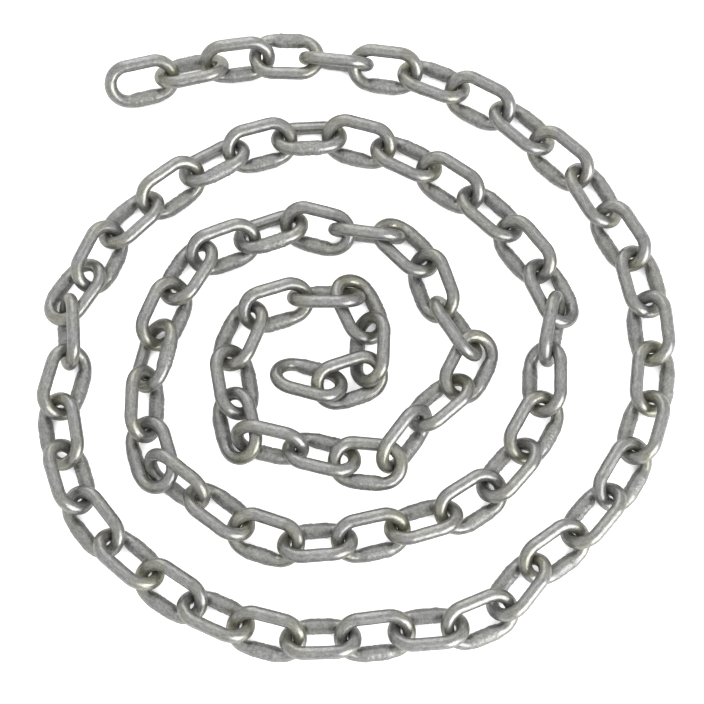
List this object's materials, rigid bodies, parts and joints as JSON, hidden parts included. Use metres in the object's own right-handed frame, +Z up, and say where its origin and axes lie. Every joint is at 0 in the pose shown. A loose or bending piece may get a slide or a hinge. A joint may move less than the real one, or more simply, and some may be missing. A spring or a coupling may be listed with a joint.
{
  "type": "galvanised steel chain in a flat spiral",
  "caption": "Cut length of welded short-link steel chain in round wire, laid out flat on the floor in a spiral that winds inwards, its links leaning to one side and the other in turn.",
  "frame": {"origin": "on the floor, under the middle of the box around the whole spiral", "axes": "+Z up from the floor; +X to the right and +Y away, as the spiral is seen in the picture"},
  "size_m": [0.289, 0.2964, 0.0235],
  "materials": {
    "galvanised_steel": "satin"
  },
  "bodies": {
    "root": {"links_01_02": "galvanised_steel", "links_03_04": "galvanised_steel", "links_05_06": "galvanised_steel", "links_07_08": "galvanised_steel", "links_09_10": "galvanised_steel", "links_11_12": "galvanised_steel", "links_13_14": "galvanised_steel", "links_15_16": "galvanised_steel", "links_17_18": "galvanised_steel", "links_19_20": "galvanised_steel", "links_21_22": "galvanised_steel", "links_23_24": "galvanised_steel", "links_25_26": "galvanised_steel", "links_27_28": "galvanised_steel", "links_29_30": "galvanised_steel", "links_31_32": "galvanised_steel", "links_33_34": "galvanised_steel", "links_35_36": "galvanised_steel", "links_37_38": "galvanised_steel", "links_39_40": "galvanised_steel", "links_41_42": "galvanised_steel", "links_43_44": "galvanised_steel", "links_45_46": "galvanised_steel", "links_47_48": "galvanised_steel", "links_49_50": "galvanised_steel", "links_51_52": "galvanised_steel", "links_53_54": "galvanised_steel", "links_55_56": "galvanised_steel", "links_57_58": "galvanised_steel", "links_59_60": "galvanised_steel", "links_61_62": "galvanised_steel", "links_63_64": "galvanised_steel", "links_65_66": "galvanised_steel", "links_67_68": "galvanised_steel", "links_69_70": "galvanised_steel", "links_71_72": "galvanised_steel", "links_73_74": "galvanised_steel", "links_75_76": "galvanised_steel", "links_77_78": "galvanised_steel", "links_79_80": "galvanised_steel", "links_81_82": "galvanised_steel", "links_83_84": "galvanised_steel"}
  },
  "joints": []
}
